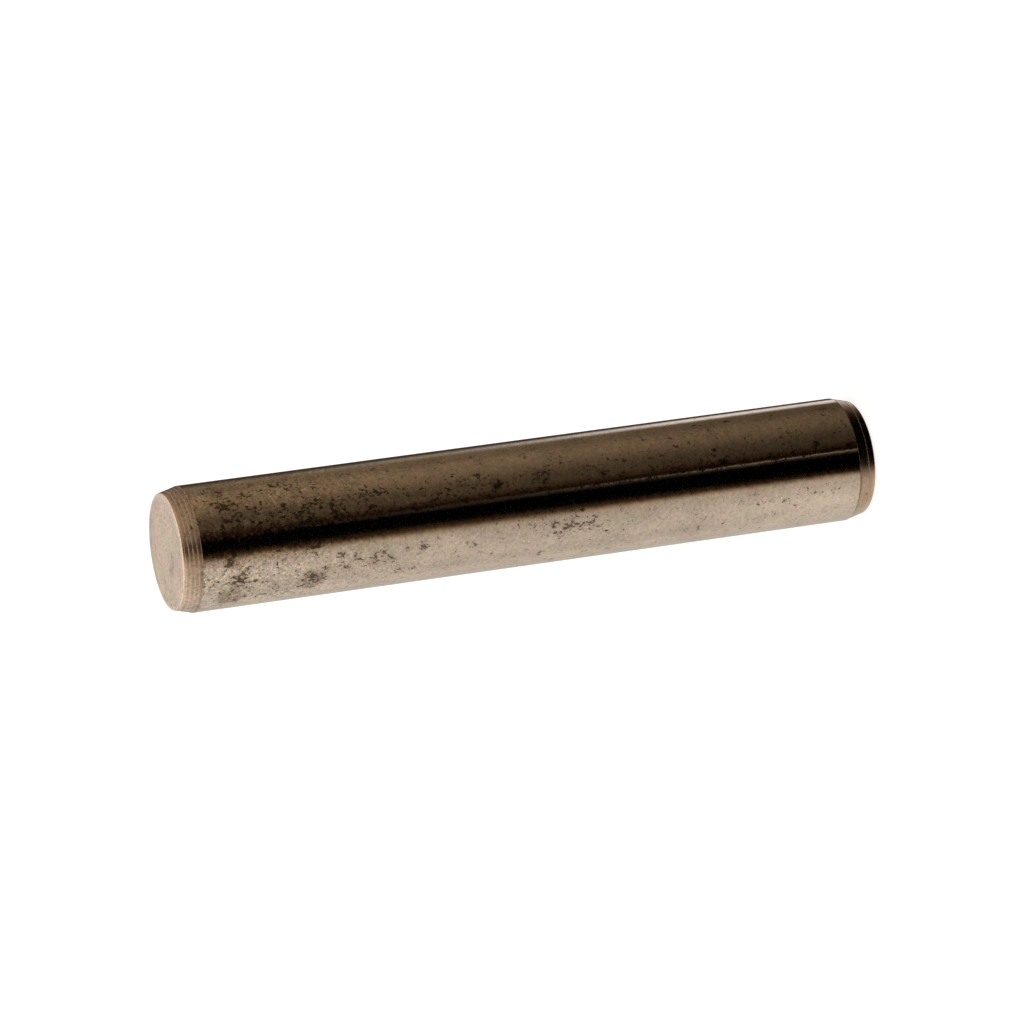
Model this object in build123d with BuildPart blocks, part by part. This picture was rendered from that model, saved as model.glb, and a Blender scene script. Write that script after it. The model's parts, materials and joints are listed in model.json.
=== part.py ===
from build123d import *

import os
from math import radians, tan

# Piston pin: one solid bar of hardened steel. The body is ground to size and each end is
# turned to a long, shallow lead, so that the pin finds its bore without catching.
# It stands on its foot face. +Z runs along the axis, and the origin is the foot's centre.

# Driving dimensions, in millimetres and degrees
pin_diameter = 12.0  # ground body, the bearing surface
pin_length = 70.0  # from end face to end face
lead_length = 1.8  # each lead, measured along the axis
lead_angle = 15.0  # each lead's taper, measured from the axis
face_edge_radius = 0.2  # rounding between a lead and its end face

# Sizes that follow from them
pin_radius = pin_diameter / 2
face_radius = pin_radius - lead_length * tan(radians(lead_angle))
upper_lead_start = pin_length - lead_length

os.makedirs("parts", exist_ok=True)

# The pin is turned about its axis from one half section
with BuildPart() as piston_pin:
    with BuildSketch(Plane.XZ):
        with BuildLine():
            Polyline(
                (0, 0),
                (face_radius, 0),
                (pin_radius, lead_length),
                (pin_radius, upper_lead_start),
                (face_radius, pin_length),
                (0, pin_length),
                close=True,
            )
        make_face()
    revolve(axis=Axis.Z)
    # Only the rims of the two flat ends are rounded: grinding leaves the lead's outer edge crisp
    end_faces = piston_pin.faces().filter_by(Axis.Z)
    fillet(end_faces.edges(), radius=face_edge_radius)

piston_pin.part.label = "piston_pin"
export_step(piston_pin.part, "parts/piston_pin.step")
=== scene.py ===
import json
import math
from collections import namedtuple

import bpy
import numpy as np
from mathutils import Matrix, Vector


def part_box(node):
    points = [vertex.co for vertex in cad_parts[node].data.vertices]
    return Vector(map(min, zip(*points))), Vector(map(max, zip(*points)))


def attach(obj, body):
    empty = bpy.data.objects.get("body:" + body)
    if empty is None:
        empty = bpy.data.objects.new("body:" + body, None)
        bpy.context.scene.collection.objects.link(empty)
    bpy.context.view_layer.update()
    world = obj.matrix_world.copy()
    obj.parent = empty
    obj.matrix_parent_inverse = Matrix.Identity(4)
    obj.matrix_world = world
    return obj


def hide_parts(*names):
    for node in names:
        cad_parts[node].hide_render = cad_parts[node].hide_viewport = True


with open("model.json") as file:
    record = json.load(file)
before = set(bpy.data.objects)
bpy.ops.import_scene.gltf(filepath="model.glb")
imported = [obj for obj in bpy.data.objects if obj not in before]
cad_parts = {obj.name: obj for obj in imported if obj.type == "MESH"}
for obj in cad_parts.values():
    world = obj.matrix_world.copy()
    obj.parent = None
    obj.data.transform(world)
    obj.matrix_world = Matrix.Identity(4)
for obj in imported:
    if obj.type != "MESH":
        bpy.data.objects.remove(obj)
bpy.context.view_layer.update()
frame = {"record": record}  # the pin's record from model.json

MM = 0.001  # one millimetre in metres

# The pin's sizes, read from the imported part
PIN_MOUNT = next(m for m in frame["record"]["mounts"] if m["name"] == "pin")
PIN_FOOT, PIN_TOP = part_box("piston_pin")
PIN_LENGTH = PIN_TOP.z - PIN_FOOT.z
PIN_RADIUS = PIN_MOUNT["dims"]["r_mm"] * MM
LEAD_LENGTH = (PIN_LENGTH - PIN_MOUNT["dims"]["length_mm"] * MM) / 2
LEAD_ANGLE = math.radians(15)  # from the axis
RIM_RADIUS = 0.2 * MM  # rounding between a lead and its end face


# ---------------------------------------------------------------- node trees


class Socket:
    """A node's output. Python's operators work on it and add the Math nodes they stand for."""

    def __init__(self, tree, output):
        self.tree = tree
        self.output = output

    def math(self, operation, *others):
        return self.tree.add("ShaderNodeMath", {"operation": operation}, [self, *others])

    def vector(self, operation, *others):
        output = "Value" if operation == "LENGTH" else "Vector"
        return self.tree.add("ShaderNodeVectorMath", {"operation": operation}, [self, *others], output)

    def stretched(self, x, y, z):
        """The vector with each of its parts multiplied by its own number."""
        return self.vector("MULTIPLY", (x, y, z))

    def parts(self):
        """The vector's x, y and z."""
        return [self.tree.add("ShaderNodeSeparateXYZ", {}, [self], axis) for axis in "XYZ"]

    def rise(self, start, end):
        """0 up to start, 1 from end on, with a smooth climb between. With end below start it falls."""
        ends = [start, end, 0.0, 1.0] if end > start else [end, start, 1.0, 0.0]
        return self.tree.add("ShaderNodeMapRange", {"interpolation_type": "SMOOTHSTEP"}, [self, *ends])

    def band(self, start, full, still_full, end):
        """1 between full and still_full, and 0 outside start and end."""
        return self.rise(start, full) * self.rise(end, still_full)

    def __add__(self, other):
        return self.math("ADD", other)

    def __radd__(self, other):
        return self + other

    def __sub__(self, other):
        return self.math("SUBTRACT", other)

    def __rsub__(self, other):
        return self * -1.0 + other

    def __mul__(self, other):
        return self.math("MULTIPLY", other)

    def __rmul__(self, other):
        return self * other

    def __truediv__(self, other):
        return self.math("DIVIDE", other)


NOISE_SPREAD = 12.5  # a noise node's output stays close to 0.5, and this widens it


class Tree:
    """Adds nodes to a shader, world or geometry tree."""

    def __init__(self, tree):
        self.tree = tree
        tree.nodes.clear()

    def add(self, kind, settings=None, inputs=(), output=0):
        """A node of that kind. Its settings go in first, because some of them change its sockets."""
        node = self.tree.nodes.new(kind)
        for name, value in (settings or {}).items():
            if name == "stops":
                self.set_stops(node.color_ramp.elements, value)
            else:
                setattr(node, name, value)
        pairs = inputs.items() if isinstance(inputs, dict) else enumerate(inputs)
        for key, value in pairs:
            self.feed(node.inputs[key], value)
        return Socket(self, node.outputs[output]) if len(node.outputs) else node

    def set_stops(self, elements, stops):
        """Gives a ramp its stops, as pairs of a place from 0 to 1 and a colour."""
        while len(elements) < len(stops):
            elements.new(1.0)
        for element, (place, colour) in zip(elements, stops):
            element.position = place
            element.color = (*colour, 1.0)

    def feed(self, socket, value):
        if isinstance(value, Socket):
            self.tree.links.new(value.output, socket)
        else:
            socket.default_value = value

    def mix(self, share, first, second, blend="MIX"):
        """Two colours mixed, where share 1 is all second."""
        settings = {"data_type": "RGBA", "blend_type": blend, "clamp_factor": True}
        first, second = (c if isinstance(c, Socket) else (*c, 1.0) for c in (first, second))
        return self.add("ShaderNodeMix", settings, {0: share, 6: first, 7: second}, 2)

    def scaled(self, colour, share):
        """A colour made lighter or darker by a number."""
        return self.add("ShaderNodeVectorMath", {"operation": "SCALE"}, {0: colour, "Scale": share})

    def noise(self, place, scale, detail=2.0, roughness=0.5):
        """Noise that is 0 on average and mostly lies between -2 and 2."""
        inputs = {"Vector": place, "Scale": scale, "Detail": detail, "Roughness": roughness}
        return (self.add("ShaderNodeTexNoise", {}, inputs) - 0.5) * NOISE_SPREAD

    def combine(self, x, y, z):
        return self.add("ShaderNodeCombineXYZ", {}, [x, y, z])

    def attribute(self, name):
        return self.add("ShaderNodeAttribute", {"attribute_name": name}, {}, "Fac")

    def joined(self, pieces):
        node = self.tree.nodes.new("GeometryNodeJoinGeometry")
        for piece in pieces:
            self.tree.links.new(piece.output, node.inputs[0])
        return Socket(self, node.outputs[0])


# ---------------------------------------------------------------- the turned form

# Rows of faces along each stretch of the half section
FACE_ROWS = 18
RIM_ROWS = 5
LEAD_ROWS = 40
SHOULDER_ROWS = 2
BODY_ROWS = 270

LATHE_SIZES = {
    "Pin radius": PIN_RADIUS,
    "Pin length": PIN_LENGTH,
    "Lead length": LEAD_LENGTH,
    "Lead angle": LEAD_ANGLE,
    "Rim radius": RIM_RADIUS,
    "Shoulder radius": 0.2 * MM,  # the lead's outer edge is all but crisp
    "Columns": 240,  # round the pin
    "Tool pitch": 0.43 * MM,  # spiral grooves on the leads
    "Tool depth": 0.014 * MM,
    "Scribed ring": 0.7 * MM,  # a fine ring round the lower lead, measured up from the foot
    "Facing pitch": 1.3 * MM,  # slow spiral on the end faces
    "Facing depth": 0.004 * MM,
    "Seed": 3.0,
}


def between(first, second, share):
    return (second - first) * share + first


class Lathe:
    """The pin's geometry tree: stretches of a half section, each turned once round the axis."""

    def __init__(self, material):
        self.group = bpy.data.node_groups.new("turned_pin", "GeometryNodeTree")
        self.tree = Tree(self.group)
        self.sockets = {}
        for name, value in LATHE_SIZES.items():
            kind = "NodeSocketInt" if isinstance(value, int) else "NodeSocketFloat"
            self.sockets[name] = self.group.interface.new_socket(name, in_out="INPUT", socket_type=kind)
        self.group.interface.new_socket("Geometry", in_out="OUTPUT", socket_type="NodeSocketGeometry")
        given = self.group.nodes.new("NodeGroupInput")
        self.size = {name: Socket(self.tree, given.outputs[name]) for name in LATHE_SIZES}
        self.build(material)

    def turned(self, rows, section, finish="body"):
        """One stretch of the half section, turned once round the axis.

        section gives radius, height and groove, from the shares of the way along the stretch and round it.
        """
        counts = {"Vertices X": rows + 1, "Vertices Y": self.size["Columns"] + 1.0}
        mesh = self.tree.add("GeometryNodeMeshGrid", {}, {"Size X": 1.0, "Size Y": 1.0, **counts})
        x, y, _ = self.tree.add("GeometryNodeInputPosition").parts()
        around = y + 0.5
        out, up, groove = section(x + 0.5, around)
        # The attributes are stored first, while the points still lie on the grid
        marks = {"groove": groove, "lead": float(finish == "lead"), "face": float(finish == "face")}
        for name, value in marks.items():
            mesh = self.tree.add(
                "GeometryNodeStoreNamedAttribute", {}, {"Geometry": mesh, "Name": name, "Value": value}
            )
        turn = around * -math.tau  # clockwise from above, so that the faces point outwards
        place = self.tree.combine(out * turn.math("COSINE"), out * turn.math("SINE"), up)
        return self.tree.add("GeometryNodeSetPosition", {}, {"Geometry": mesh, "Position": place})

    def straight(self, rows, start, end):
        """A straight stretch of the body."""
        return self.turned(rows, lambda t, _: (*(between(a, b, t) for a, b in zip(start, end)), 0.0))

    def rounded(self, rows, centre, bend, first, last):
        """A rounded edge of the lead, from one angle to another, measured up from straight out."""

        def section(t, _):
            tilt = between(first, last, t)
            return centre[0] + bend * tilt.math("COSINE"), centre[1] + bend * tilt.math("SINE"), 0.0

        return self.turned(rows, section, "lead")

    def end_of_pin(self, spiral):
        """End face, rounded rim, lead and shoulder, as they lie at the foot."""
        size = self.size
        angle = size["Lead angle"]
        sine, cosine = angle.math("SINE"), angle.math("COSINE")
        face_corner = size["Pin radius"] - size["Lead length"] * angle.math("TANGENT")
        rim_reach = size["Rim radius"] / (angle / 2.0 + math.pi / 4).math("TANGENT")
        shoulder_reach = size["Shoulder radius"] * (angle / 2.0).math("TANGENT")
        face_edge = face_corner - rim_reach
        lead_from = (face_corner + rim_reach * sine, rim_reach * cosine)
        lead_to = (size["Pin radius"] - shoulder_reach * sine, size["Lead length"] - shoulder_reach * cosine)
        body_from = size["Lead length"] + shoulder_reach

        def cut(position):
            """A round-nosed tool's depth at a place in turns of its spiral: 0 at a crest and 1 midway."""
            off_middle = position.math("FRACT") - 0.5
            return 1.0 - off_middle * off_middle * 4.0

        def faced(t, around):
            out = face_edge * t
            groove = cut(out / size["Facing pitch"] + around) * t.band(0.0, 0.06, 0.94, 1.0)
            return out, groove * size["Facing depth"], groove

        def along_lead(t, groove, relief):
            inward = groove * relief * size["Tool depth"]
            out, up = (between(a, b, t) for a, b in zip(lead_from, lead_to))
            return out - inward * cosine, up + inward * sine, groove

        def grooved(t, around):
            """A spiral that fades out at the rim, each turn a little deeper or shallower than the last."""
            turns = t * size["Lead length"] / size["Tool pitch"] + around
            turn = around * math.tau
            # How far along the spiral this is. It runs on through the seam, so that no step is left there
            along = (turns.math("FLOOR") - around + 0.75) * 0.83
            ring = self.tree.combine(turn.math("COSINE"), turn.math("SINE"), along)
            uneven = self.tree.add(
                "ShaderNodeTexNoise",
                {"noise_dimensions": "4D"},
                {"Vector": ring, "W": size["Seed"], "Scale": 1.3, "Detail": 1.0},
            )
            groove = cut(turns) * (uneven.rise(0.2, 0.8) * 0.6 + 0.6)
            return along_lead(t, groove, t.band(0.0, 0.25, 0.95, 1.0))

        def scribed(t, _):
            """A smooth lead with one fine ring that stands out of it."""
            from_ring = (t * size["Lead length"] - size["Scribed ring"]).math("ABSOLUTE")
            return along_lead(t, from_ring.rise(0.02 * MM, 0.11 * MM), t.band(0.0, 0.1, 0.9, 1.0))

        rim_middle = (face_edge, size["Rim radius"])
        shoulder_middle = (size["Pin radius"] - size["Shoulder radius"], body_from)
        down_the_lead = angle * -1.0
        pieces = [
            self.turned(FACE_ROWS, faced, "face"),
            self.rounded(RIM_ROWS, rim_middle, size["Rim radius"], -math.pi / 2, down_the_lead),
            self.turned(LEAD_ROWS, grooved if spiral else scribed, "lead"),
            self.rounded(SHOULDER_ROWS, shoulder_middle, size["Shoulder radius"], down_the_lead, 0.0),
        ]
        return self.tree.joined(pieces), body_from

    def build(self, material):
        size, tree = self.size, self.tree
        foot, body_from = self.end_of_pin(spiral=False)
        top, _ = self.end_of_pin(spiral=True)
        lift = tree.combine(0.0, 0.0, size["Pin length"])
        turned_over = {"Geometry": top, "Rotation": (math.pi, 0.0, 0.0), "Translation": lift}
        top = tree.add("GeometryNodeTransform", {}, turned_over)
        body_to = size["Pin length"] - body_from
        radius, edge = size["Pin radius"], 0.05 * MM  # a short row by each shoulder keeps its edge crisp
        heights = [body_from, body_from + edge, body_to - edge, body_to]
        body = [
            self.straight(rows, (radius, low), (radius, high))
            for rows, low, high in zip((1, BODY_ROWS, 1), heights, heights[1:])
        ]
        pin = tree.joined([foot, *body, top])
        pin = tree.add("GeometryNodeMergeByDistance", {}, {"Geometry": pin, "Distance": 0.001 * MM})
        pin = tree.add("GeometryNodeSetShadeSmooth", {}, {"Geometry": pin})
        pin = tree.add("GeometryNodeRealizeInstances", {}, {"Geometry": pin})
        pin = tree.add("GeometryNodeSetMaterial", {}, {"Geometry": pin, "Material": material})
        out = self.group.nodes.new("NodeGroupOutput")
        self.group.links.new(pin.output, out.inputs[0])


def turn_pin(material):
    """The turned pin as a plain mesh."""
    lathe = Lathe(material)
    pin = bpy.data.objects.new("turned_pin", bpy.data.meshes.new("blank"))
    bpy.context.scene.collection.objects.link(pin)
    modifier = pin.modifiers.new("lathe", "NODES")
    modifier.node_group = lathe.group
    for name, value in LATHE_SIZES.items():
        modifier[lathe.sockets[name].identifier] = value
    graph = bpy.context.evaluated_depsgraph_get()
    turned = pin.evaluated_get(graph)
    mesh = bpy.data.meshes.new_from_object(turned, preserve_all_data_layers=True, depsgraph=graph)
    pin.modifiers.remove(modifier)
    pin.data = mesh
    mesh.name = "turned_pin"
    return pin


# ---------------------------------------------------------------- stains and specks

# A mark lies so far down from the rim of the top face, or where that is negative so far in from it, and so
# many degrees round the pin from its -Y side towards +X. It is so long along the pin and so wide round it,
# all in millimetres. stain is a soft brown film and specks are fine dark pits.
Mark = namedtuple("Mark", "down turn length width stain specks")

BELTS = [  # long stretches that are dusted all over, on the side towards +X
    Mark(5.2, 49, 3.6, 3.0, 0.50, 0.48),
    Mark(5.5, 35, 5.0, 4.0, 0.65, 0.78),
    Mark(8, 22, 14, 5.5, 0.28, 0.48),
    Mark(8, 48, 14, 3.5, 0.15, 0.46),
    Mark(12, 13, 24, 1.6, 0.35, 0.68),
    Mark(13, 24, 15, 2.6, 0.30, 0.68),
    Mark(26, 10, 34, 1.0, 0.20, 0.56),
    Mark(26, 24, 40, 2.8, 0.10, 0.43),
    Mark(34, 50, 90, 3.0, 0.0, 0.22),
    Mark(48, 6.5, 19, 0.5, 0.2, 0.70),
    Mark(55, 13, 40, 1.8, 0.20, 0.52),
    Mark(55, 30, 40, 3.0, 0.05, 0.32),
    # and on the other side
    Mark(5.5, -30, 5.5, 2.8, 0.22, 0.50),
    Mark(8, -54, 14, 3.0, 0.20, 0.38),
    Mark(8, -32, 16, 3.4, 0.10, 0.34),
    Mark(10, -11, 18, 0.8, 0.10, 0.40),
    Mark(11.5, -52, 7, 2.4, 0.35, 0.50),
    Mark(16.8, -32, 11, 2.4, 0.44, 0.54),
    Mark(30, -30, 40, 3.0, 0.0, 0.18),
    Mark(34, -55, 90, 3.0, 0.0, 0.08),
    Mark(37.5, -27, 10, 2.4, 0.32, 0.50),
    Mark(62, -30, 14, 2.4, 0.0, 0.16),
]
MARKS = [  # from the top end down, on the side towards +X
    Mark(2.7, 28, 0.8, 0.4, 0.3, 1.2),
    Mark(4.2, 12, 0.8, 1.6, 0.9, 1.2),
    Mark(4.4, 50, 1.4, 1.2, 0.8, 0.5),
    Mark(4.7, 34, 1.6, 0.9, 0.7, 1.0),
    Mark(4.8, 20, 0.8, 1.0, 0.9, 1.3),
    Mark(5.7, 16, 1.0, 1.3, 0.8, 1.0),
    Mark(5.8, 51, 1.0, 1.0, 0.7, 0.5),
    Mark(5.9, 33, 1.0, 0.8, 0.6, 0.9),
    Mark(7.0, 33, 0.6, 0.5, 0.3, 1.3),
    Mark(7.6, 53, 1.3, 0.5, 0.2, 0.8),
    Mark(7.9, 15, 0.5, 0.5, 0.6, 1.4),
    Mark(8.4, 35, 0.5, 0.7, 0.4, 1.4),
    Mark(9.2, 17, 2.6, 1.1, 0.5, 0.8),
    Mark(9.4, 40, 0.4, 0.4, 0.2, 1.3),
    Mark(9.6, 53, 1.4, 0.8, 0.3, 0.9),
    Mark(10.1, 17, 0.8, 0.4, 0.6, 1.4),
    Mark(10.9, 28, 3.6, 0.4, 0.1, 0.9),
    Mark(11.1, 45, 0.4, 0.5, 0.2, 1.4),
    Mark(12.0, 57, 0.5, 0.4, 0.1, 0.8),
    Mark(12.2, 27, 0.8, 0.6, 0.4, 1.2),
    Mark(12.3, 20, 1.6, 1.3, 0.5, 0.8),
    Mark(12.7, 21, 0.4, 0.6, 0.6, 1.4),
    Mark(13.8, 21, 0.4, 0.7, 0.5, 1.4),
    Mark(13.8, 10, 0.7, 1.0, 0.3, 0.9),
    Mark(13.9, 32, 0.5, 0.9, 0.2, 1.1),
    Mark(14.9, 10, 0.6, 0.5, 0.6, 1.3),
    Mark(16.1, 16, 0.8, 0.4, 0.6, 1.5),
    Mark(18.2, 32, 0.5, 0.4, 0.1, 0.9),
    Mark(18.7, 15, 1.7, 0.6, 0.6, 1.1),
    Mark(19.9, 26, 1.6, 0.5, 0.3, 0.95),
    Mark(20.5, 9, 0.8, 0.4, 0.5, 1.4),
    Mark(21.9, 9, 0.5, 0.5, 0.5, 1.3),
    Mark(22.9, 8, 1.4, 0.5, 0.6, 1.3),
    Mark(23.3, 21, 2.2, 0.9, 0.4, 0.5),
    Mark(24.0, 8, 0.4, 0.4, 0.5, 1.3),
    Mark(26.7, 22, 0.4, 0.5, 0.4, 1.4),
    Mark(27.8, 24, 1.2, 0.8, 0.4, 0.9),
    Mark(29.8, 30, 1.0, 0.5, 0.3, 1.1),
    Mark(31.0, 9, 3.6, 0.4, 0.2, 0.9),
    Mark(31.1, 18, 1.1, 0.8, 1.2, 1.6),
    Mark(31.1, 12, 0.5, 0.7, 0.7, 1.2),
    Mark(31.4, 18, 2.4, 2.2, 0.5, 0.75),
    Mark(31.7, 20, 0.8, 0.5, 0.9, 1.4),
    Mark(32.0, 23, 0.7, 1.1, 0.3, 0.8),
    Mark(34.6, 31, 0.4, 0.4, 0.4, 1.5),
    Mark(36.0, 22, 2.0, 1.7, 0.6, 0.85),
    Mark(39.2, 33, 0.4, 0.3, 0.1, 0.9),
    Mark(40.9, 26, 2.4, 0.6, 0.3, 0.9),
    Mark(41.3, 8, 0.6, 0.5, 0.7, 1.4),
    Mark(42.0, 17, 1.0, 1.0, 0.7, 0.9),
    Mark(44.6, 7, 0.6, 0.4, 0.6, 1.4),
    Mark(45.6, 18, 1.4, 0.6, 0.4, 0.85),
    Mark(46.4, 33, 0.5, 0.3, 0.1, 0.9),
    Mark(50.0, 34, 1.3, 0.4, 0.2, 1.0),
    Mark(50.1, 8, 0.8, 0.4, 0.7, 1.4),
    Mark(51.7, 25, 0.4, 0.4, 0.4, 1.4),
    Mark(51.8, 8, 0.5, 0.4, 0.6, 1.4),
    Mark(52.8, 9, 0.6, 0.4, 0.5, 1.2),
    Mark(53.1, 58, 1.8, 0.5, 0.4, 1.0),
    Mark(53.6, 25, 0.5, 0.5, 0.6, 1.6),
    Mark(54.3, 12, 0.9, 0.8, 1.0, 1.6),
    Mark(56.3, 58, 1.3, 0.4, 0.3, 1.0),
    Mark(57.5, 35, 0.4, 0.4, 0.2, 1.2),
    Mark(58.0, 9, 0.8, 0.4, 0.5, 1.1),
    Mark(60.1, 45, 0.8, 0.4, 0.3, 0.7),
    Mark(63.2, 38, 0.4, 0.4, 0.2, 0.8),
    Mark(63.8, 16, 1.4, 0.5, 0.7, 1.2),
    Mark(65.6, 11, 1.6, 0.4, 0.6, 1.1),
    Mark(66.3, 57, 1.1, 0.7, 1.1, 0.5),
    Mark(67.3, 12, 1.0, 0.4, 0.6, 1.1),
    # and on the other side
    Mark(3.4, -34, 0.6, 0.6, 0.5, 1.0),
    Mark(3.9, -26, 0.5, 0.3, 0.2, 0.8),
    Mark(4.5, -55, 2.6, 2.6, 1.2, 0.8),
    Mark(4.9, -13, 1.3, 0.8, 0.7, 1.2),
    Mark(4.9, -18, 2.2, 1.4, 1.1, 1.1),
    Mark(5.2, -35, 2.0, 1.3, 1.0, 1.1),
    Mark(6.1, -57, 0.6, 0.6, 0.6, 0.9),
    Mark(6.7, -39, 1.4, 0.4, 0.6, 1.2),
    Mark(7.9, -59, 0.7, 0.4, 0.4, 0.8),
    Mark(8.1, -23, 0.5, 0.4, 0.2, 1.2),
    Mark(9.0, -25, 0.4, 0.4, 0.2, 1.4),
    Mark(10.0, -59, 0.6, 0.4, 0.3, 0.7),
    Mark(12.5, -48, 2.7, 2.6, 1.3, 1.05),
    Mark(12.7, -14, 2.0, 0.5, 0.8, 1.2),
    Mark(14.6, -36, 2.0, 0.6, 0.5, 0.5),
    Mark(15.0, -24, 0.4, 0.5, 0.5, 1.3),
    Mark(15.4, -25, 1.6, 0.7, 0.3, 0.8),
    Mark(16.7, -26, 1.3, 0.6, 0.3, 0.9),
    Mark(18.1, -38, 1.6, 0.5, 0.5, 0.9),
    Mark(20.2, -35, 1.6, 0.25, 0.3, 0.7),
    Mark(21.5, -65, 0.6, 0.4, 0.6, 0.6),
    Mark(22.8, -50, 0.7, 0.9, 0.3, 0.6),
    Mark(23.5, -27, 1.1, 0.8, 0.5, 0.85),
    Mark(26.6, -38, 0.3, 0.3, 0.1, 0.8),
    Mark(30.3, -47, 0.5, 0.6, 0.3, 0.6),
    Mark(34.6, -24, 0.9, 0.6, 0.2, 0.7),
    Mark(36.5, -26, 0.8, 0.6, 0.5, 1.2),
    Mark(37.0, -73, 0.7, 1.4, 0.6, 0.3),
    Mark(37.2, -34, 0.4, 0.3, 0.1, 0.8),
    Mark(39.4, -14, 0.7, 0.4, 0.9, 1.5),
    Mark(39.6, -27, 2.2, 0.5, 0.5, 0.95),
    Mark(39.9, -73, 0.5, 1.3, 0.5, 0.3),
    Mark(41.0, -27, 0.9, 0.4, 0.3, 0.8),
    Mark(41.3, -75, 0.5, 1.3, 0.5, 0.3),
    Mark(41.9, -38, 0.6, 0.4, 0.8, 1.5),
    Mark(58.0, -31, 1.4, 0.7, 0.1, 0.5),
    Mark(59.6, -44, 0.4, 0.4, 0.5, 1.1),
    Mark(62.5, -33, 0.5, 0.35, 0.3, 0.85),
    Mark(63.4, -28, 0.4, 0.35, 0.3, 0.9),
    Mark(67.3, -34, 0.7, 0.3, 0.4, 0.7),
    Mark(69.4, -11, 0.5, 0.4, 0.5, 0.6),
]
FACE_MARKS = [  # on the top face, from its rim in
    Mark(-0.4, -96, 0.4, 0.4, 0.3, 0.9),
    Mark(-0.5, -84, 0.5, 3.2, 0.2, 0.55),
    Mark(-1.2, -110, 0.4, 0.3, 0.3, 0.9),
    Mark(-1.3, 4, 0.5, 0.4, 0.2, 0.6),
    Mark(-3.1, -62, 0.35, 1.3, 0.5, 0.6),
    Mark(-3.3, -45, 1.2, 3.4, 0.52, 0.0),
    Mark(-4.4, 78, 0.5, 0.3, 0.3, 0.8),
]
HIDDEN_MARKS = 60
HIDDEN_SIDES = (88, 274)  # from and to, in degrees round the pin
SCATTER_SEED = 11


def hidden_marks():
    """Marks of the same kinds, scattered over the sides that the others leave clean."""
    draw = np.random.default_rng(SCATTER_SEED)
    marks = [
        Mark(10, 130, 22, 7.0, 0.2, 0.36),
        Mark(14, 215, 26, 8.0, 0.2, 0.36),
        Mark(36, 180, 90, 9.0, 0.0, 0.26),
    ]
    for _ in range(HIDDEN_MARKS):
        down = 2.5 + 65 * draw.random() ** 1.4  # closer together towards the top end
        turn = draw.uniform(*HIDDEN_SIDES)
        marks.append(Mark(down, turn, *draw.uniform((0.5, 0.3, 0.2, 0.5), (2.8, 1.4, 0.8, 1.0))))
    return marks


def weather(pin):
    """Writes how stained and how specked the steel is at each point, as the attributes stain and specks."""
    count = len(pin.data.vertices)
    points = np.empty(count * 3, np.float32)
    pin.data.vertices.foreach_get("co", points)
    x, y, z = points.reshape(-1, 3).T / MM
    length = PIN_LENGTH / MM
    face_radius = PIN_RADIUS / MM - LEAD_LENGTH / MM * math.tan(LEAD_ANGLE)
    out = np.hypot(x, y)
    turn = np.arctan2(x, -y)
    inside = face_radius - out
    flat = 0.01  # the end faces' tool marks are shallower than this
    down = np.where(z > length - flat, np.minimum(-inside, 0.0), length - z)
    down = np.where(z < flat, length + np.maximum(inside, 0.0), down)
    fields = {"stain": np.zeros(count), "specks": np.zeros(count)}
    for mark in BELTS + MARKS + FACE_MARKS + hidden_marks():
        across = (turn - math.radians(mark.turn) + math.pi) % math.tau - math.pi
        spread = ((down - mark.down) / (mark.length / 2)) ** 2 + (across * out / (mark.width / 2)) ** 2
        shape = np.exp(-spread * spread)
        for name, field in fields.items():
            np.maximum(field, shape * getattr(mark, name), out=field)
    for name, field in fields.items():
        attribute = pin.data.attributes.new(name, "FLOAT", "POINT")
        attribute.data.foreach_set("value", field.astype(np.float32))


# ---------------------------------------------------------------- the steel

BODY_STEEL = (0.51, 0.41, 0.318)
LEAD_STEEL = (0.475, 0.36, 0.265)
FACE_STEEL = (0.535, 0.40, 0.292)
PINK_STEEL = (0.54, 0.39, 0.325)
OLIVE_STEEL = (0.48, 0.42, 0.28)
STAIN_BROWN = (0.235, 0.166, 0.118)
SPECK_BROWN = (0.075, 0.054, 0.033)
BODY_ROUGHNESS = 0.095
LEAD_ROUGHNESS = 0.20
FACE_ROUGHNESS = 0.38


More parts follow.
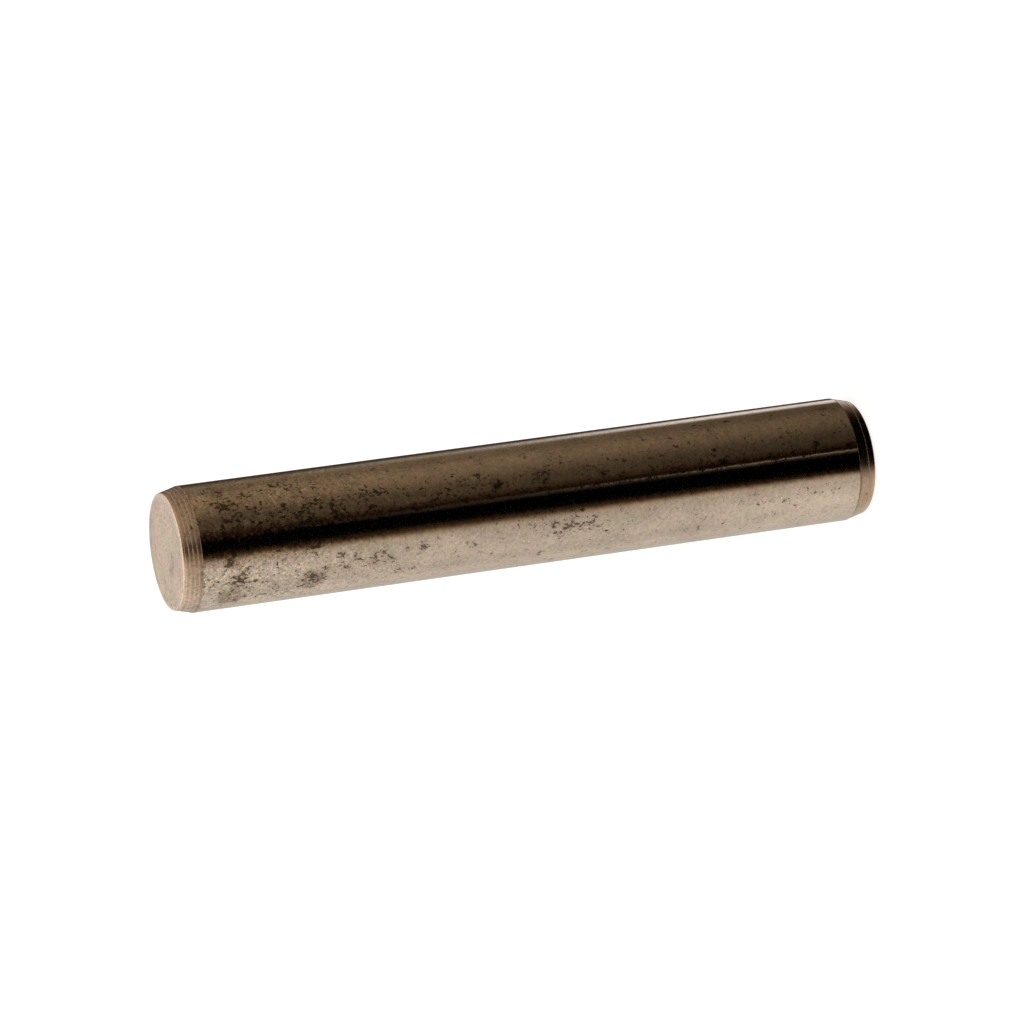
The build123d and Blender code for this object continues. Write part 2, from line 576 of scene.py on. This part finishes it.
def steel():
    """Ground and turned steel with handling stains."""
    material = bpy.data.materials.new("stained_ground_steel")
    material.use_nodes = True
    tree = Tree(material.node_tree)

    # Which part of the pin this is and where on it, in millimetres
    place = tree.add("ShaderNodeTexCoord", {}, {}, "Object").stretched(1 / MM, 1 / MM, 1 / MM)
    lead, face, groove = (tree.attribute(name) for name in ("lead", "face", "groove"))
    stain, specks = (tree.attribute(name) for name in ("stain", "specks"))
    body = 1.0 - lead - face
    out = place.stretched(1, 1, 0).vector("LENGTH")
    up = place.parts()[2]
    from_end = (up * -1.0 + PIN_LENGTH / MM).math("MINIMUM", up)
    top_part, foot_part = up.rise(10, 30), up.rise(30, 10)
    worn = up.rise(40, 66) * 0.7 + 0.3  # the top end has been handled more
    crest = lead * groove.rise(0.55, 0.1)
    rim = lead * from_end.rise(0.24, 0.14)

    # Patterns, per millimetre
    blotch = tree.noise(place.stretched(1, 1, 0.6), 0.4)
    tint = tree.noise(place, 0.8)
    cloud = tree.noise(place, 0.9)
    patch = tree.noise(place, 0.55)
    worm = tree.noise(place, 3.0)
    grain = tree.noise(place, 7.5, 2.0, 0.6)
    turning = tree.noise(place.stretched(0.3, 0.3, 7.0), 1.0, 3.0, 0.6)
    pit = tree.noise(place.stretched(1.0, 1.0, 0.8), 3.3, 3.0, 0.6)
    arc = tree.noise(tree.combine(out * 3.2, 0.0, 0.0).vector("ADD", place.stretched(0.35, 0.35, 0)), 1.0)

    # How much brown film, dark pitting and pale flecks there is. The flecks are paler bare steel beside the
    # pits, partly painted glints
    film = (stain * 3.2 + worm * 0.7 + cloud * 0.5).rise(0.9, 2.7)
    grit = pit + grain * 0.35 + cloud * 0.5 + specks * 2.9 - face * 0.8 - lead * 0.4 - 2.1
    speck = grit.rise(0.0, 1.3)
    bare_flecks_and_glints = (worm * 0.8 + grain * 0.4 + cloud * 0.5 + specks * 2.0 - face).rise(1.2, 2.9) * (1.0 - speck)

    # Colour, from the steel itself up to the pits
    colour = tree.mix(tint.rise(-1.6, 1.6), PINK_STEEL, OLIVE_STEEL)
    colour = tree.mix(0.72, colour, BODY_STEEL)
    colour = tree.mix(lead, colour, LEAD_STEEL)
    colour = tree.mix(face, colour, FACE_STEEL)
    colour = tree.mix((lead * 0.4 + face * 0.6) * patch.rise(-0.6, 1.2), colour, PINK_STEEL)
    colour = tree.mix(face * patch.rise(0.5, -1.2) * 0.5, colour, OLIVE_STEEL)
    colour = tree.mix(film * 0.8, colour, STAIN_BROWN)
    colour = tree.mix(speck * (specks.rise(0.9, 1.5) * 0.12 + worn * 0.07 + 0.81), colour, SPECK_BROWN)

    # Light and dark: wear and painted glints, then the turned leads and faces, then painted shade in the
    # grooves, a painted highlight by the rim and painted shade by the shoulders
    mottle = (worm * 0.06 + grain * 0.045) * (worn + 0.4) * (1.0 - lead * 0.6)
    shade = blotch * 0.035 + mottle + bare_flecks_and_glints * (worn * 0.50 + 0.18) + 1.0
    # Painted glints: small bright spots painted into the colour, stronger towards the top end
    glints = grain.rise(0.7, 2.2) * (worn * 0.13 + 0.05)
    shade = shade + (glints - worm.rise(-0.7, -2.2) * worn * 0.18) * (1.0 - face * 0.8)
    shade = shade + turning * lead * 0.07 + arc * face * 0.035
    # Turning lines on the top lead, with painted shade in its groove bottoms and a painted highlight on its
    # crests
    rings_and_groove_shade = turning.rise(0.5, 1.6) * 0.15 + (groove.rise(0.15, 0.85) - 0.5) * 0.38
    # Painted shade in a band beside the top shoulder, over the end of the lead and the start of the body
    shade = shade - (lead * rings_and_groove_shade + from_end.band(1.5, 1.75, 1.9, 2.2) * 0.22) * top_part
    # A painted highlight along each lead's rim, with the lead painted a little darker away from it
    shade = shade + lead * (from_end.rise(0.6, 0.15) * 0.18 - from_end.rise(0.8, 1.3) * 0.06)
    # Painted shade in a line on the foot lead beside its shoulder
    shade = shade - lead * from_end.rise(1.55, 1.75) * foot_part * 0.3
    colour = tree.mix(1.0, colour, tree.combine(shade, shade, shade), "MULTIPLY")

    # Finish: groove crests are rougher than the rest of a lead, and its rim is smoother
    rough = body * BODY_ROUGHNESS + lead * LEAD_ROUGHNESS + face * FACE_ROUGHNESS
    rough = rough + crest * 0.32 - rim * 0.30 + worm * 0.004 + film * 0.03 + speck * 0.05

    # Relief finer than the mesh: the body's slight waves, and the face falling away towards its rim
    wave = tree.noise(place.stretched(1.0, 1.0, 1.4), 0.9, 1.0)
    dubbing = out.rise(4.5, 5.7) * face
    height = wave * body * worn * 0.22 - dubbing * 8.5
    bump = tree.add("ShaderNodeBump", {}, {"Strength": 1.0, "Distance": 0.01 * MM, "Height": height})

    shader = tree.add(
        "ShaderNodeBsdfPrincipled",
        {},
        {"Base Color": colour, "Metallic": 1.0, "Roughness": rough, "Normal": bump},
    )
    tree.add("ShaderNodeOutputMaterial", {}, {"Surface": shader})
    return material


# ---------------------------------------------------------------- studio

FLOOR_SIZE = 6.0
FLOOR_GREY = 0.4  # what the shadow falls on
FLOOR_GLOW = 0.75  # lifts the floor to white

# What the pin reflects, by how far round it is in degrees from -Y towards +X. The body sees the middle
# row and the upper and lower leads see the rows above and below it.
PAPER = [
    (-180, (0.60, 0.57, 0.52)),
    (-164, (0.63, 0.59, 0.54)),
    (-158, (0.68, 0.64, 0.59)),
    (-152, (0.78, 0.73, 0.69)),
    (-140, (0.82, 0.78, 0.74)),
    (-134, (0.89, 0.88, 0.87)),
    (-125, (0.93, 0.92, 0.91)),
    (-110, (0.88, 0.88, 0.87)),
    (-98, (0.86, 0.86, 0.85)),
    (-86, (0.91, 0.91, 0.90)),
    (-74, (0.88, 0.88, 0.87)),
    (-62, (0.86, 0.85, 0.84)),
    (-50, (0.80, 0.785, 0.765)),
    (-38, (0.71, 0.67, 0.63)),
]
UPPER_ROW = [
    (-180, (0.32, 0.28, 0.24)),
    (-152, (0.75, 0.72, 0.68)),
    (-134, (0.95, 0.93, 0.90)),
    (-97, (1.08, 1.04, 0.99)),
    (-76, (1.08, 1.04, 1.00)),
    (-58, (0.92, 0.87, 0.79)),
    (-43, (0.92, 0.84, 0.73)),
    (-31, (0.75, 0.645, 0.515)),
    (-20, (0.46, 0.37, 0.26)),
    (-9, (0.13, 0.09, 0.06)),
    (4, (0.09, 0.07, 0.05)),
    (16, (0.41, 0.34, 0.27)),
    (49, (0.52, 0.44, 0.32)),
    (87, (0.52, 0.42, 0.30)),
    (106, (0.42, 0.34, 0.27)),
    (143, (0.33, 0.26, 0.20)),
    (180, (0.32, 0.28, 0.24)),
]
LOWER_ROW = [
    (-180, (0.60, 0.56, 0.50)),
    (-155, (0.72, 0.67, 0.60)),
    (-135, (0.80, 0.77, 0.72)),
    (-115, (0.84, 0.73, 0.64)),
    (-73, (0.80, 0.74, 0.66)),
    (-54, (0.76, 0.67, 0.60)),
    (-41, (0.52, 0.43, 0.36)),
    (-28, (0.06, 0.04, 0.03)),
    (-20, (0.0, 0.0, 0.0)),
    (92, (0.0, 0.0, 0.0)),
    (108, (0.03, 0.02, 0.01)),
    (126, (0.16, 0.13, 0.10)),
    (142, (0.50, 0.46, 0.42)),
    (158, (0.88, 0.84, 0.80)),
    (180, (0.60, 0.56, 0.50)),
]
ROOM_BROWN = (1.0, 0.79, 0.55)
CORNER_BROWN = (1.0, 0.76, 0.55)
LAMP_WHITE = (1.04, 1.04, 1.08)
GAP_WHITE = (1.0, 0.86, 0.68)
FRINGE_RED = (0.085, 0.055, 0.034)


def studio_world():
    """Soft light for the steel to reflect: a paper wall, a black gap, a dim brown room and a tall lamp."""
    world = bpy.data.worlds.new("studio")
    bpy.context.scene.world = world
    world.use_nodes = True
    # The steel mirrors this light, so there is nothing to gain from aiming at its brighter parts
    world.cycles.sampling_method = "NONE"
    tree = Tree(world.node_tree)
    x, y, z = tree.add("ShaderNodeTexCoord", {}, {}, "Generated").parts()
    turn = x.math("ARCTAN2", y * -1.0) * math.degrees(1)  # from -Y towards +X, in degrees
    height = z.math("ARCSINE") * math.degrees(1)  # above the horizon, in degrees

    def row(stops):
        stops = [((angle + 180) / 360, colour) for angle, colour in stops]
        return tree.add("ShaderNodeValToRGB", {"stops": stops}, [turn / 360 + 0.5])

    # The paper wall is a little lighter or darker in a few level strips
    paper = row(PAPER)
    step = height.rise(-21.0, -22.0) * 0.20 - height.rise(-18.5, -20.5) * 0.07
    step = turn.band(-124, -108, -40, -28) * step
    step = step + turn.band(-78, -64, -46, -38) * height.rise(-16.8, -15.9) * 0.25
    paper = tree.scaled(paper, step + 1.0)
    # The wall ends towards the gap in a penumbra that is redder at its dark side and narrower low down
    penumbra = (turn - height * 0.25 + 24.5) * (height * -0.07 - 0.08)
    wall = tree.combine(penumbra.rise(10, -9.5), penumbra.rise(9, -10), penumbra.rise(8, -11))
    fringe = penumbra.band(20, 8, 8, 0) * height.band(-25, -18.5, -17.5, -14)
    wall = wall.vector("ADD", tree.scaled(FRINGE_RED, fringe))
    # Behind the pin the room grows lighter until it meets the paper again
    behind = turn.rise(144, 152) * 0.045 + turn.rise(158, 172) * 0.12 + turn.rise(168, 181) * 0.42

    # The brown room lies past the gap's leaning edge and is dimmer low down
    shifted = turn + height * 0.6 + 10.4
    edge = tree.combine(shifted.rise(10, 35), shifted.rise(12, 36), shifted.rise(13, 36.5))
    room = turn.rise(38, 86) * 0.65 - turn.rise(92, 114) * 0.29
    fall = turn.rise(158, 133) * turn.rise(-60, 0) * height.rise(-33, -9.5) * 0.47
    room = tree.combine(room, room, room).vector("ADD", tree.scaled(edge, 0.33))
    room = tree.scaled(room.vector("MULTIPLY", ROOM_BROWN), fall)
    # A tall lamp that leans, and a thin line of light in the gap
    lamp_turn = turn + (height + 22.4) * 1.1
    lamp = height.rise(-18.3, -21.6) * 0.93 + height.rise(-16, -18.3) * 0.17
    lamp = lamp_turn.band(129.5, 143, 144.5, 157) * lamp
    gap = turn.band(11.9, 13.0, 13.8, 14.9) * height.rise(-20, -21.2) * 0.31
    gap = gap + turn.band(6.5, 11, 13, 17) * height.rise(-16.2, -17.4) * 0.035

    middle = room.vector("ADD", tree.scaled(LAMP_WHITE, lamp))
    middle = middle.vector("ADD", tree.scaled(GAP_WHITE, gap))
    middle = middle.vector("ADD", tree.scaled(CORNER_BROWN, behind))
    middle = middle.vector("MULTIPLY", tree.combine(1.0, 1.0, 1.0).vector("SUBTRACT", wall))
    middle = middle.vector("ADD", paper.vector("MULTIPLY", wall))

    # What the leads see lies above and below, and the end face sees the light overhead
    side = tree.mix(height.rise(-13.5, -5), middle, row(UPPER_ROW))
    side = tree.mix(height.rise(-24, -29), side, row(LOWER_ROW))
    overhead = (height + y * 25.0 + 25.0).rise(45, 70)
    side = tree.mix(overhead, side, (1.08, 1.08, 1.06))
    side = side.vector("ADD", tree.scaled((1.0, 1.0, 1.0), height.rise(35, 65) * 0.2))
    seen = tree.add("ShaderNodeLightPath", {}, {}, "Is Camera Ray")
    colour = tree.mix(seen, side, (1.0, 1.0, 1.0))
    background = tree.add("ShaderNodeBackground", {}, {"Color": colour, "Strength": 1.0})
    tree.add("ShaderNodeOutputWorld", {}, {"Surface": background})


def floor():
    """A pale floor that keeps the pin's soft shadow. Polished steel looks past it to the studio."""
    half = FLOOR_SIZE / 2
    mesh = bpy.data.meshes.new("floor")
    corners = [(-half, -half, 0), (half, -half, 0), (half, half, 0), (-half, half, 0)]
    mesh.from_pydata(corners, [], [(0, 1, 2, 3)])
    sheet = bpy.data.objects.new("floor", mesh)
    bpy.context.scene.collection.objects.link(sheet)
    sheet.visible_glossy = False
    material = bpy.data.materials.new("pale_floor")
    material.use_nodes = True
    material.cycles.emission_sampling = "NONE"  # its glow shows white to the camera and lights nothing
    tree = Tree(material.node_tree)
    matt = tree.add("ShaderNodeBsdfDiffuse", {}, {"Color": (FLOOR_GREY, FLOOR_GREY, FLOOR_GREY, 1.0)})
    glow = tree.add("ShaderNodeEmission", {}, {"Color": (1.0, 1.0, 1.0, 1.0), "Strength": FLOOR_GLOW})
    tree.add("ShaderNodeOutputMaterial", {}, {"Surface": tree.add("ShaderNodeAddShader", {}, [matt, glow])})
    mesh.materials.append(material)


# ---------------------------------------------------------------- camera

VIEW_RISE = math.radians(18.98)  # above the floor
VIEW_ROLL = math.radians(-97.874)  # the standing pin lies across the picture, top face to the left
VIEW_DISTANCE = 507.15 * MM
VIEW_LENS = 187.47
AIM_OFFSET = Vector((0.66, 0.62)) * MM  # the pin's middle, right of and above the picture's centre


def camera():
    data = bpy.data.cameras.new("camera")
    data.lens = VIEW_LENS
    data.sensor_width = 36.0
    data.clip_start, data.clip_end = 0.05, 20.0
    view = bpy.data.objects.new("camera", data)
    bpy.context.scene.collection.objects.link(view)
    turn = Matrix.Rotation(math.pi / 2 - VIEW_RISE, 3, "X") @ Matrix.Rotation(VIEW_ROLL, 3, "Z")
    middle = Vector((0.0, 0.0, PIN_LENGTH / 2))
    place = middle - turn @ Vector((AIM_OFFSET.x, AIM_OFFSET.y, -VIEW_DISTANCE))
    view.matrix_world = Matrix.Translation(place) @ turn.to_4x4()
    bpy.context.scene.camera = view


pin = turn_pin(steel())
weather(pin)
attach(pin, "root")
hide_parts("piston_pin")

floor()
studio_world()
camera()
bpy.context.scene.view_settings.view_transform = "Standard"
